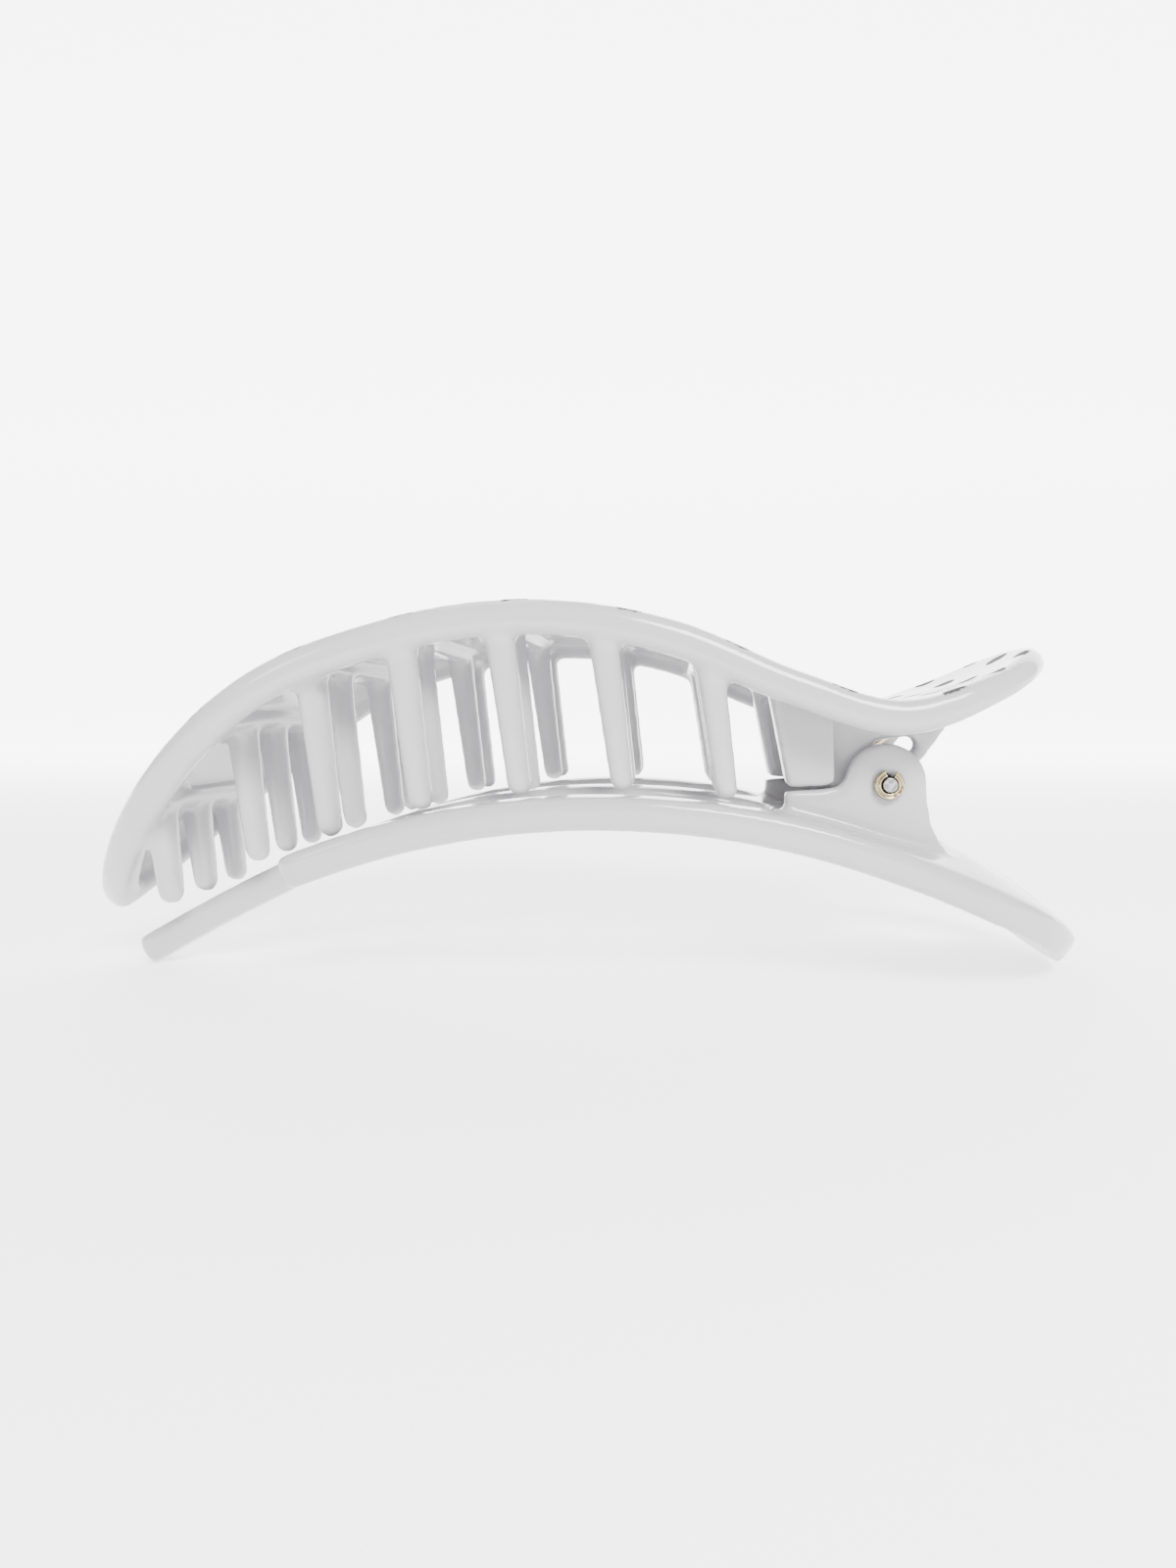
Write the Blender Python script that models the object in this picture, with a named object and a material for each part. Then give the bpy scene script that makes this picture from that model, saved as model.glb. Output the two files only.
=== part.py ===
"""A flat hair clip: two moulded jaws on a steel pin, closed by a torsion spring.

The clip lies along X with its teeth towards -X and its finger tabs towards +X. Every table and
constant below is in millimetres, measured from the pin-side drawing origin, and settle() at the
end carries the whole clip to the frame in which it stands on z = 0.
"""

import math

import bmesh
import bpy
import numpy as np
from mathutils import Matrix, Vector

MM = 0.001
GAP = 0.3

# Side view of the outer face of each jaw, as knots of a smooth curve: x, z.
UPPER_CURVE = [
    (-74.3, -23.4),
    (-61.0, -7.3),
    (-47.2, 4.9),
    (-32.8, 11.0),
    (-16.4, 13.5),
    (0.0, 11.2),
    (14.0, 5.5),
    (25.0, 2.55),
    (35.0, 5.3),
    (44.4, 9.3),
]
LOWER_CURVE = [
    (-66.6, -30.7),
    (-55.0, -24.3),
    (-44.0, -19.0),
    (-32.8, -15.0),
    (-18.7, -12.2),
    (-6.0, -11.7),
    (9.4, -13.4),
    (23.4, -17.4),
    (37.4, -24.1),
    (47.6, -31.5),
]

HALF_WIDTH = 16.0
TIP_LENGTH = 29.0
TIP_POWER = 1.6
TAB_LENGTH = 18.0
RIM_DEPTH = 3.9
RIM_WIDTH = 2.6
SHELL = 2.0
TIP_SHARE, TAB_SHARE = 0.87, 0.82
TIP_CAMBER = 1.7
TAIL_CAMBER = 2.2

LOWER_DEPTH = 3.75
TAIL_SKIN = 1.6
TAIL_RIM = 3.2
RECESS_START = 15.0
TINE_WIDTH = 5.0
MIDDLE_TINE_HALF = 2.8
SIDE_TINE_END = -42.2
SLOT_END = 11.0
CORNER = 2.2

PIN_X, PIN_Z = 24.2, -7.0
PIN_RADIUS = 0.85
PIN_REACH = 11.5
BORE_RADIUS = PIN_RADIUS + GAP
EAR_IN, EAR_OUT = 8.3, 10.3
EAR_RADIUS = 4.7
LUG_IN, LUG_OUT = 6.2, 8.0
LUG_RADIUS = 4.2
CHEEK_IN, CHEEK_OUT = 6.9, 10.2
RETAINER_RADIUS = 1.75
RETAINER_THICK = 0.6
RETAINER_OPENING = 50.0

WIRE_RADIUS = 0.45
COIL_RADIUS = 2.0
COIL_TURNS = 3
COIL_REACH = 5.2
COIL_BREAK = 0.35
TAIL_WINDOW = dict(start=28.9, end=40.6, half=3.5)
LEG_ON_TAIL, LEG_ON_TAB = 31.0, 35.0

# One row for each line of teeth across the upper jaw: where the tips are, and the distances from
# the middle at which its teeth stand.
TOOTH_LINES = [
    dict(x=-60.3, tip=-21.6, rows=(-6.3, 0.0, 6.3)),
    dict(x=-49.9, tip=-16.6, rows=(-6.3, 0.0, 6.3)),
    dict(x=-38.4, tip=-12.7, rows=(-12.2, -6.0, 6.0, 12.2)),
    dict(x=-27.8, tip=-9.6, rows=(-14.2, -8.2, 8.2, 14.2)),
    dict(x=-17.0, tip=-8.0, rows=(-14.2, -8.2, 8.2, 14.2)),
    dict(x=-5.8, tip=-7.5, rows=(-14.2, -8.2, 8.2, 14.2)),
    dict(x=5.6, tip=-8.4, rows=(-14.2, -8.2, 8.2, 14.2)),
]
TOOTH_LEAN = math.tan(math.radians(7.5))
TOOTH_ROOT, TOOTH_TIP = 1.4, 1.0
TOOTH_SIDES = 10
RIB_HALF = 1.25
RIB_DEPTH = 3.4

STATION = 3.6


class Curve:
    """A smooth curve z(x) through knots, with the slope at each knot taken from its neighbours."""

    def __init__(self, knots):
        self.x, self.z = np.array(knots).T
        self.slope = np.gradient(self.z, self.x)

    def height_and_slope(self, x):
        x = np.asarray(x, float)
        i = np.clip(np.searchsorted(self.x, x) - 1, 0, len(self.x) - 2)
        span = self.x[i + 1] - self.x[i]
        t = (x - self.x[i]) / span
        a, b = self.z[i], self.z[i + 1]
        p, q = self.slope[i] * span, self.slope[i + 1] * span
        c = 3 * (b - a) - 2 * p - q
        d = 2 * (a - b) + p + q
        height = a + p * t + c * t**2 + d * t**3
        slope = (p + 2 * c * t + 3 * d * t**2) / span
        return height, slope

    def bend(self, points, camber, share=None):
        """Carries flat points (x along the clip, y across, z from the face) onto the curve."""
        x, y, off = points.T
        if share is not None:
            off = off * share(x)
        height, slope = self.height_and_slope(x)
        height = height + camber(x) * (1 - (y / HALF_WIDTH) ** 2)
        turn = np.arctan(slope)
        return np.stack([x - off * np.sin(turn), y, height + off * np.cos(turn)], axis=1)

    def surface(self, place, y, off, camber, share=None):
        """Height at the given place of the surface that lies off from the face."""
        x = np.linspace(self.x[0], self.x[-1], 400)
        bent = self.bend(np.stack([x, np.full_like(x, y), np.full_like(x, off)], axis=1), camber, share)
        return float(np.interp(place, bent[:, 0], bent[:, 2]))


UPPER = Curve(UPPER_CURVE)
LOWER = Curve(LOWER_CURVE)


def fade(x, start, end):
    """0 at start, 1 at end, with a smooth step between."""
    t = np.clip((np.asarray(x, float) - start) / (end - start), 0, 1)
    return t * t * (3 - 2 * t)


def upper_camber(x):
    return TIP_CAMBER * fade(x, -30, -60)


def upper_share(x):
    """The moulding is a little thinner at its tip and on its tab."""
    return 1 - (1 - TIP_SHARE) * fade(x, -45, -70) - (1 - TAB_SHARE) * fade(x, 22, 38)


def lower_camber(x):
    return TAIL_CAMBER * fade(x, 18, 34) * (1 - 0.7 * fade(x, 36, 50))


def arc(cx, cy, radius, start, end, count):
    """Points on a circle, both ends included, angles in degrees."""
    angles = np.radians(np.linspace(start, end, count))
    return [(cx + radius * math.cos(a), cy + radius * math.sin(a)) for a in angles]


def quarter_ellipse(tip_x, inner_x, count, power=1.0, width=HALF_WIDTH):
    """The edge from the end's middle to full width on the +Y side; a power over 1 makes it slimmer."""
    length = inner_x - tip_x
    angles = np.linspace(0, math.pi / 2, count)
    return [(inner_x - length * math.cos(a), width * math.sin(a) ** power) for a in angles]


def upper_outline(distance=0.0):
    """The upper jaw seen from above, anticlockwise, its ends and sides moved in by the distance."""
    tip, tab = UPPER_CURVE[0][0], UPPER_CURVE[-1][0]
    width = HALF_WIDTH - distance
    left = quarter_ellipse(tip + distance, tip + TIP_LENGTH, 15, TIP_POWER, width)
    right = quarter_ellipse(tab - distance, tab - TAB_LENGTH, 12, width=width)
    half = right + left[::-1]
    return half + [(x, -y) for x, y in half[::-1][1:-1]]


def lower_outline():
    """The lower jaw seen from above, anticlockwise: a tail, two side tines and a longer middle one."""
    tip, tab = LOWER_CURVE[0][0], LOWER_CURVE[-1][0]
    right = quarter_ellipse(tab, tab - TAB_LENGTH, 12)
    inner = HALF_WIDTH - TINE_WIDTH
    middle = MIDDLE_TINE_HALF
    slot = (inner - middle) / 2
    half = right
    half = half + arc(SIDE_TINE_END + CORNER, HALF_WIDTH - CORNER, CORNER, 90, 180, 5)
    half = half + arc(SIDE_TINE_END + CORNER, inner + CORNER, CORNER, 180, 270, 5)
    half = half + arc(SLOT_END - slot, middle + slot, slot, 90, -90, 9)
    half = half + arc(tip + CORNER, middle - CORNER, CORNER, 90, 180, 5)
    return half + [(x, -y) for x, y in half[::-1][:-1]]


def tail_recess_outline():
    """The hollow under the tail, seen from above, anticlockwise: the tail's edge less its rim."""
    inner = LOWER_CURVE[-1][0] - TAB_LENGTH
    width = HALF_WIDTH - TAIL_RIM
    far = quarter_ellipse(inner + TAB_LENGTH - TAIL_RIM, inner, 9, width=width)
    far += arc(RECESS_START + CORNER, width - CORNER, CORNER, 90, 180, 4)
    return far + [(x, -y) for x, y in far[::-1][:-1]]


def tail_window_outline():
    """The window in the tail's skin, seen from above, anticlockwise, with both ends round."""
    window = TAIL_WINDOW
    half = window["half"]
    outline = arc(window["end"] - half, 0, half, -90, 90, 11)
    return outline + arc(window["start"] + half, 0, half, 90, 270, 11)


def inset(outline, distance):
    """The same outline moved inwards, each point along the bisector of its two edges."""
    points = np.array(outline)
    before = points - np.roll(points, 1, axis=0)
    after = np.roll(points, -1, axis=0) - points
    before /= np.linalg.norm(before, axis=1)[:, None]
    after /= np.linalg.norm(after, axis=1)[:, None]
    left = np.stack([-(before + after)[:, 1], (before + after)[:, 0]], axis=1)
    left /= np.linalg.norm(left, axis=1)[:, None]
    sine = np.stack([-before[:, 1], before[:, 0]], axis=1)
    reach = distance / np.maximum(np.einsum("ij,ij->i", left, sine), 0.5)
    return points + left * reach[:, None]


def lofted(name, outline, levels):
    """A closed body whose skin runs through the outline at each (inset, height) level."""
    mesh = bmesh.new()
    rings = []
    for distance, height in levels:
        points = outline(distance) if callable(outline) else inset(outline, distance)
        rings.append([mesh.verts.new((x, y, height)) for x, y in points])
    for upper, lower in zip(rings, rings[1:]):
        for i in range(len(upper)):
            j = (i + 1) % len(upper)
            mesh.faces.new((upper[j], upper[i], lower[i], lower[j]))
    mesh.faces.new(rings[0])
    mesh.faces.new(rings[-1][::-1])
    return finish_mesh(name, mesh)


def finish_mesh(name, mesh):
    """Turns a bmesh into an object, with its faces outwards."""
    bmesh.ops.recalc_face_normals(mesh, faces=mesh.faces)
    data = bpy.data.meshes.new(name)
    mesh.to_mesh(data)
    mesh.free()
    body = bpy.data.objects.new(name, data)
    bpy.context.scene.collection.objects.link(body)
    return body


def cut_stations(body, curve, camber, share=None):
    """Splits every face at even stations along the clip, then bends the body onto its curve."""
    mesh = bmesh.new()
    mesh.from_mesh(body.data)
    low, high = min(v.co.x for v in mesh.verts), max(v.co.x for v in mesh.verts)
    stations = [(Vector((x, 0, 0)), Vector((1, 0, 0))) for x in np.arange(low + STATION, high, STATION)]
    across = [(Vector((0, y, 0)), Vector((0, 1, 0))) for y in (-9.5, 0.0, 9.5)]
    for place, normal in stations + across:
        everything = mesh.verts[:] + mesh.edges[:] + mesh.faces[:]
        bmesh.ops.bisect_plane(mesh, geom=everything, dist=1e-4, plane_co=place, plane_no=normal)
    bmesh.ops.remove_doubles(mesh, verts=mesh.verts, dist=1e-3)
    flat = np.array([v.co for v in mesh.verts])
    for vertex, place in zip(mesh.verts, curve.bend(flat, camber, share)):
        vertex.co = place
    bmesh.ops.triangulate(mesh, faces=mesh.faces)
    mesh.to_mesh(body.data)
    mesh.free()
    return body


def side_plate(name, outline, near, far):
    """A plate with the given side view (x, z), between two distances across the clip."""
    mesh = bmesh.new()
    front = [mesh.verts.new((x, near, z)) for x, z in outline]
    back = [mesh.verts.new((x, far, z)) for x, z in outline]
    count = len(outline)
    for i in range(count):
        j = (i + 1) % count
        mesh.faces.new((front[i], front[j], back[j], back[i]))
    mesh.faces.new(front[::-1])
    mesh.faces.new(back)
    return finish_mesh(name, mesh)


def rod(name, x, z, radius, near, far, sides=24):
    """A round bar across the clip."""
    return side_plate(name, arc(x, z, radius, 0, 360 * (sides - 1) / sides, sides), near, far)


def tooth(name, x, y, tip):
    """A round peg that leans towards the tabs as it comes down and narrows to a rounded tip."""
    height, slope = UPPER.height_and_slope(x - TOOTH_LEAN * 16)
    camber = upper_camber(x) * (1 - (y / HALF_WIDTH) ** 2)
    root = float(height) + float(camber) - SHELL / 2 / math.cos(math.atan(float(slope)))
    length = root - tip
    levels = [(0.0, TOOTH_ROOT), (0.25, TOOTH_ROOT - 0.1), (0.6, (TOOTH_ROOT + TOOTH_TIP) / 2)]
    levels = [(share * length, radius) for share, radius in levels]
    for angle in (0, 30, 60, 80):
        turn = math.radians(angle)
        levels.append((length - TOOTH_TIP * (1 - math.sin(turn)), TOOTH_TIP * math.cos(turn)))
    mesh = bmesh.new()
    rings = []
    for down, radius in levels:
        axis_x = x - TOOTH_LEAN * (length - down)
        ring = arc(axis_x, y, radius, 0, 360 - 360 / TOOTH_SIDES, TOOTH_SIDES)
        rings.append([mesh.verts.new((a, b, root - down)) for a, b in ring])
    for upper, lower in zip(rings, rings[1:]):
        for i in range(TOOTH_SIDES):
            j = (i + 1) % TOOTH_SIDES
            mesh.faces.new((upper[j], upper[i], lower[i], lower[j]))
    mesh.faces.new(rings[0])
    mesh.faces.new(rings[-1][::-1])
    return finish_mesh(name, mesh)


def rib(name, line):
    """A low bar under the shell that joins the teeth of one line to both rims."""
    x = line["x"] - TOOTH_LEAN * 17
    edge = np.interp(x, *np.array(upper_edge()).T) - RIM_WIDTH / 2
    corners = [(x - RIB_HALF, -edge), (x + RIB_HALF, -edge), (x + RIB_HALF, edge), (x - RIB_HALF, edge)]
    body = lofted(name, corners, [(0, -SHELL / 2), (0, -RIB_DEPTH)])
    return cut_stations(body, UPPER, upper_camber, upper_share)


def upper_edge():
    """Half width of the upper jaw against x, from its outline."""
    return sorted((x, y) for x, y in upper_outline() if y >= 0)


def joined(body, helpers, operation="UNION"):
    """Adds or cuts the helpers one after another, and keeps the result as the body's own mesh."""
    for helper in helpers:
        modifier = body.modifiers.new(helper.name, "BOOLEAN")
        modifier.operation = operation
        modifier.solver = "EXACT"
        modifier.object = helper
    graph = bpy.context.evaluated_depsgraph_get()
    data = bpy.data.meshes.new_from_object(body.evaluated_get(graph))
    body.modifiers.clear()
    body.data = data
    for helper in helpers:
        bpy.data.objects.remove(helper)
    return body


def material(name, color, roughness, metallic=0.0):
    """A Principled material."""
    made = bpy.data.materials.new(name)
    made.use_nodes = True
    shader = made.node_tree.nodes["Principled BSDF"]
    shader.inputs["Base Color"].default_value = (*color, 1)
    shader.inputs["Roughness"].default_value = roughness
    shader.inputs["Metallic"].default_value = metallic
    return made


def both_sides(make, name, near, far):
    """The same piece on the +Y side and, mirrored, on the -Y side."""
    return [make(name + "_far", near, far), make(name + "_near", -far, -near)]


def lug_outline():
    """Side view of the upper jaw's lug, from the shell down and round the pin."""
    around = arc(PIN_X, PIN_Z, LUG_RADIUS, 195, 385, 20)
    return [(11.2, 4.6), (12.9, -7.2)] + around + [(29.6, -3.6), (31.8, -0.6), (34.0, 3.4), (25.0, 1.0), (18.5, 2.2)]


def cheek_outline():
    """Side view of the thick wall in front of the lug, which closes down onto the ear's ledge."""
    return [(10.4, 5.2), (12.9, -7.45), (17.9, -7.1), (18.3, -6.7), (18.0, 2.4)]


def ear_outline():
    """Side view of the lower jaw's ear: a ledge, the round eye and a flank that runs into the tail."""
    eye = arc(PIN_X, PIN_Z, EAR_RADIUS, 180, 10, 18)
    return (
        [(12.5, -12.5), (12.6, -7.85), (18.7, -7.45)]
        + eye[1:]
        + [(28.9, -9.0), (29.3, -11.6), (30.5, -14.0), (33.1, -16.8), (37.0, -19.6), (36.0, -21.5), (24.0, -15.6)]
    )


def blind_slot():
    """Side view of the hole through each lug that shows the spring's leg above the ear."""
    return arc(27.3, -2.5, 0.95, -70, 110, 9) + [(23.2, -2.1), (23.4, -3.6)]


def make_upper_jaw():
    """Shell with a deeper rim, cross ribs, teeth, cheeks and lugs, moulded in one."""
    levels = [
        (1.2, 0.0),
        (0.45, -0.28),
        (0.0, -1.1),
        (0.0, -RIM_DEPTH + 1.0),
        (0.35, -RIM_DEPTH + 0.3),
        (1.0, -RIM_DEPTH),
        (RIM_WIDTH - 0.6, -RIM_DEPTH),
        (RIM_WIDTH, -RIM_DEPTH + 0.5),
        (RIM_WIDTH, -SHELL),
    ]
    body = cut_stations(lofted("upper_jaw", upper_outline, levels), UPPER, upper_camber, upper_share)
    pieces = [rib(f"rib_{i}", line) for i, line in enumerate(TOOTH_LINES)]
    for i, line in enumerate(TOOTH_LINES):
        pieces += [tooth(f"tooth_{i}_{j}", line["x"], y, line["tip"]) for j, y in enumerate(line["rows"])]
    pieces += both_sides(lambda n, a, b: side_plate(n, lug_outline(), a, b), "lug", LUG_IN, LUG_OUT)
    pieces += both_sides(lambda n, a, b: side_plate(n, cheek_outline(), a, b), "cheek", CHEEK_IN, CHEEK_OUT)
    joined(body, pieces)
    holes = [rod("bore", PIN_X, PIN_Z, BORE_RADIUS, -EAR_OUT - 1, EAR_OUT + 1)]
    holes += both_sides(lambda n, a, b: side_plate(n, blind_slot(), a, b), "window", LUG_IN - 1, LUG_OUT + 1)
    return joined(body, holes, "DIFFERENCE")


def make_lower_jaw():
    """Three tines, a tail and two ears, moulded in one."""
    levels = [
        (0.9, LOWER_DEPTH),
        (0.25, LOWER_DEPTH - 0.25),
        (0.0, LOWER_DEPTH - 0.9),
        (0.0, 0.9),
        (0.25, 0.25),
        (0.9, 0.0),
    ]
    body = cut_stations(lofted("lower_jaw", lower_outline(), levels), LOWER, lower_camber)
    joined(body, both_sides(lambda n, a, b: side_plate(n, ear_outline(), a, b), "ear", EAR_IN, EAR_OUT))
    recess = lofted("tail_recess", tail_recess_outline(), [(0, LOWER_DEPTH - TAIL_SKIN), (0, -3)])
    window = lofted("tail_window", tail_window_outline(), [(0, LOWER_DEPTH + 3), (0, -3)])
    for cutter in (recess, window):
        cut_stations(cutter, LOWER, lower_camber)
    bore = rod("bore", PIN_X, PIN_Z, BORE_RADIUS, -EAR_OUT - 1, EAR_OUT + 1)
    return joined(body, [recess, window, bore], "DIFFERENCE")


def make_retainer(name, near, far):
    """A spring clip on the pin's end: a ring open at one place."""
    start = 75 + RETAINER_OPENING / 2
    end = 75 + 360 - RETAINER_OPENING / 2
    outline = arc(PIN_X, PIN_Z, RETAINER_RADIUS, start, end, 22)
    outline += arc(PIN_X, PIN_Z, BORE_RADIUS, end, start, 22)
    return side_plate(name, outline, near, far)


def leave_angle(side, leg):
    """Where the coil lets go of its circle so that the straight leg runs on to the given point."""
    reach_x, reach_z = leg[0] - PIN_X, leg[1] - PIN_Z
    distance = math.hypot(reach_x, reach_z)
    return math.atan2(reach_z, reach_x) + side * math.acos(COIL_RADIUS / distance)


def make_spring_half(name, side, leg, start):
    """Half of the torsion spring: from the middle of the coil outwards, then a leg towards the tabs."""
    leave = leave_angle(side, leg)
    turns = side * (start - leave) / (2 * math.pi)
    turns += round(COIL_TURNS - turns)
    steps = round(12 * turns)
    points = []
    for i in range(steps + 1):
        share = i / steps
        turn = leave + side * 2 * math.pi * turns * (1 - share)
        y = side * COIL_REACH * share
        points.append((PIN_X + COIL_RADIUS * math.cos(turn), y, PIN_Z + COIL_RADIUS * math.sin(turn)))
    leg_end = Vector((leg[0], side * COIL_REACH, leg[1]))
    last = Vector(points[-1])
    points += [tuple(last.lerp(leg_end, share)) for share in (0.35, 0.7, 1.0)]
    curve = bpy.data.curves.new(name, "CURVE")
    curve.dimensions = "3D"
    curve.bevel_depth = WIRE_RADIUS
    curve.bevel_resolution = 1
    curve.use_fill_caps = True
    spline = curve.splines.new("POLY")
    spline.points.add(len(points) - 1)
    for point, place in zip(spline.points, points):
        point.co = (*place, 1)
    wire = bpy.data.objects.new(name, curve)
    bpy.context.scene.collection.objects.link(wire)
    graph = bpy.context.evaluated_depsgraph_get()
    data = bpy.data.meshes.new_from_object(wire.evaluated_get(graph))
    bpy.data.objects.remove(wire)
    body = bpy.data.objects.new(name, data)
    bpy.context.scene.collection.objects.link(body)
    return body


def settle(upper_bodies, lower_bodies):
    """Puts the clip on z = 0 with its middle over the origin, and each body's origin on the pin."""
    bodies = upper_bodies + lower_bodies
    points = np.array([v.co for body in bodies for v in body.data.vertices])
    low, high = points.min(axis=0), points.max(axis=0)
    move = Vector((-(low[0] + high[0]) / 2, 0, -low[2]))
    pin = Vector((PIN_X, 0, PIN_Z))
    for body in bodies:
        body.data.transform(Matrix.Translation(-pin))
        body.data.transform(Matrix.Scale(MM, 4))
    axis = bpy.data.objects.new("hinge_axis", None)
    axis.location = (pin + move) * MM
    axis.empty_display_size = 10 * MM
    bpy.context.scene.collection.objects.link(axis)
    for body in bodies:
        body.parent = axis
    print("pin axis at", [round(value, 3) for value in (pin + move)], "mm")


def main():
    for leftover in list(bpy.data.objects):
        bpy.data.objects.remove(leftover)
    white = material("white_plastic", (0.82, 0.82, 0.84), 0.18)
    steel = material("steel", (0.62, 0.62, 0.62), 0.3, 1.0)
    brass = material("brass_plated", (0.72, 0.62, 0.4), 0.3, 1.0)

    upper_jaw = make_upper_jaw()
    lower_jaw = make_lower_jaw()
    pin = rod("hinge_pin", PIN_X, PIN_Z, PIN_RADIUS, -PIN_REACH, PIN_REACH, sides=20)
    seat = EAR_OUT + GAP
    retainers = both_sides(make_retainer, "retainer", seat, seat + RETAINER_THICK)
    rest = 1.15 * (WIRE_RADIUS + GAP)
    tail_top = LOWER.surface(LEG_ON_TAIL, COIL_REACH, LOWER_DEPTH, lower_camber) + rest
    tab_under = UPPER.surface(LEG_ON_TAB, COIL_REACH, -SHELL, upper_camber, upper_share) - rest
    on_tail, on_tab = (LEG_ON_TAIL, tail_top), (LEG_ON_TAB, tab_under)
    middle = leave_angle(1, on_tab)
    break_angle = (COIL_BREAK + GAP) / COIL_RADIUS
    upper_leg = make_spring_half("spring_upper", 1, on_tab, middle)
    lower_leg = make_spring_half("spring_lower", -1, on_tail, middle + break_angle)

    for body in (upper_jaw, lower_jaw):
        body.data.materials.clear()
        body.data.materials.append(white)
    pin.data.materials.append(steel)
    for body in retainers + [lower_leg, upper_leg]:
        body.data.materials.clear()
        body.data.materials.append(brass)
    for body in [upper_jaw, lower_jaw, pin, lower_leg, upper_leg] + retainers:
        body.data.shade_smooth()
        body.data.set_sharp_from_angle(angle=math.radians(35))
    settle([upper_jaw, upper_leg], [lower_jaw, pin, lower_leg] + retainers)


main()
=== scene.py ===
"""Looks for the flat hair clip: two glossy white mouldings, a printed dot pattern, a steel pin held
by brass-plated rings, and the coiled closing spring.

Shapes are worked out in millimetres in the clip's side-view drawing: x along the clip towards the
finger tabs, y across it, z up. in_place() carries them to the frame.
"""

import math

import bmesh
import bpy
import numpy as np
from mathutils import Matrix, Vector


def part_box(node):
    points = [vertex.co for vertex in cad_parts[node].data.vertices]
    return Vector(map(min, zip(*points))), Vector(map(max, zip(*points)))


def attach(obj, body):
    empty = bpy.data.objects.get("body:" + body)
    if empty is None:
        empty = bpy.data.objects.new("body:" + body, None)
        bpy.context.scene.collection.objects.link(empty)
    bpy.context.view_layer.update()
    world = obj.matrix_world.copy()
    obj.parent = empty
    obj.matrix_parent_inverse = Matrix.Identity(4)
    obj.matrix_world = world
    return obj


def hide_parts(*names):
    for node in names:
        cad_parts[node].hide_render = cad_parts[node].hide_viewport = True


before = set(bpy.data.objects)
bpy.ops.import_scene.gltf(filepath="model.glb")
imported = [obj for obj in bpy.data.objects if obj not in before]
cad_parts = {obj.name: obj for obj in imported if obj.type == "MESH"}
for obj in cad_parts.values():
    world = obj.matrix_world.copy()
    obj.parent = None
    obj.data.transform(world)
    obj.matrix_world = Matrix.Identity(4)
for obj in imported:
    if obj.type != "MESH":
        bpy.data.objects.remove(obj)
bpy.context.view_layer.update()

PIN = np.array([24.2, 0.0, -7.0])
pin_low, pin_high = (np.array(corner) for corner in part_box("hinge_pin"))
TO_FRAME = (pin_low + pin_high) / 2 * 1000 - PIN

TOP_FACE = [
    (-74.3, -23.4), (-61.0, -7.3), (-47.2, 4.9), (-32.8, 11.0), (-16.4, 13.5),
    (0.0, 11.2), (14.0, 5.5), (25.0, 2.55), (35.0, 5.9), (44.4, 11.4),
]
SOLE_FACE = [
    (-66.6, -30.66), (-55.0, -24.3), (-44.0, -19.0), (-32.8, -15.0), (-18.7, -12.2),
    (-6.0, -11.7), (9.4, -13.4), (23.4, -17.4), (37.4, -24.1), (47.6, -31.44),
]
HALF = 16.0
TIP_ROUND, TAB_ROUND = 29.0, 18.0
SHELL = 2.0
SOLE = 3.75
VOXEL = 0.42

TOOTH_LINES = [
    (-60.3, -21.6, (-6.3, 0.0, 6.3)),
    (-49.9, -16.6, (-6.3, 0.0, 6.3)),
    (-38.4, -12.7, (-12.2, -6.0, 6.0, 12.2)),
    (-27.8, -9.6, (-13.7, -8.2, 8.2, 13.7)),
    (-17.0, -8.0, (-13.7, -8.2, 8.2, 13.7)),
    (-5.8, -7.5, (-13.7, -8.2, 8.2, 13.7)),
    (5.6, -8.4, (-13.7, -8.2, 8.2, 13.7)),
]
LEAN = math.tan(math.radians(7.5))


class Curve:
    """A smooth curve z(x) through knots: a cubic between each two, its slopes from its neighbours."""

    def __init__(self, knots):
        self.x, self.z = np.array(knots).T
        self.slope = np.gradient(self.z, self.x)
        self.fine = np.linspace(self.x[0] - 4, self.x[-1] + 4, 900)
        steps = np.hypot(np.diff(self.fine), np.diff(self.at(self.fine)[0]))
        self.run = np.concatenate([[0], np.cumsum(steps)])

    def at(self, x):
        x = np.asarray(x, float)
        i = np.clip(np.searchsorted(self.x, x) - 1, 0, len(self.x) - 2)
        span = self.x[i + 1] - self.x[i]
        t = (x - self.x[i]) / span
        a, b = self.z[i], self.z[i + 1]
        p, q = self.slope[i] * span, self.slope[i + 1] * span
        c = 3 * (b - a) - 2 * p - q
        d = 2 * (a - b) + p + q
        return a + p * t + c * t**2 + d * t**3, (p + 2 * c * t + 3 * d * t**2) / span

    def length(self, x):
        """The length along the curve up to x."""
        return np.interp(x, self.fine, self.run)


TOP, UNDERSIDE = Curve(TOP_FACE), Curve(SOLE_FACE)


def fade(x, start, end):
    """0 at start and 1 at end, with a smooth step between."""
    t = np.clip((np.asarray(x, float) - start) / (end - start), 0, 1)
    return t * t * (3 - 2 * t)


def camber(x):
    """How far the upper jaw's middle stands above its edges: domed at the tip, dished on the tab."""
    return 1.7 * fade(x, -30, -60) - 1.2 * fade(x, 27, 37)


def on_top(x, y, off):
    """A point off from the upper jaw's outer face: along the curve's normal, on its crosswise dome."""
    z, slope = TOP.at(x)
    turn = np.arctan(slope)
    off = off * (1 + 0.1 * fade(x, -45, -70) - 0.18 * fade(x, 22, 38))
    z = z + camber(x) * (1 - (y / HALF) ** 2)
    return np.stack(np.broadcast_arrays(x - off * np.sin(turn), y, z + off * np.cos(turn)), axis=-1)


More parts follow.
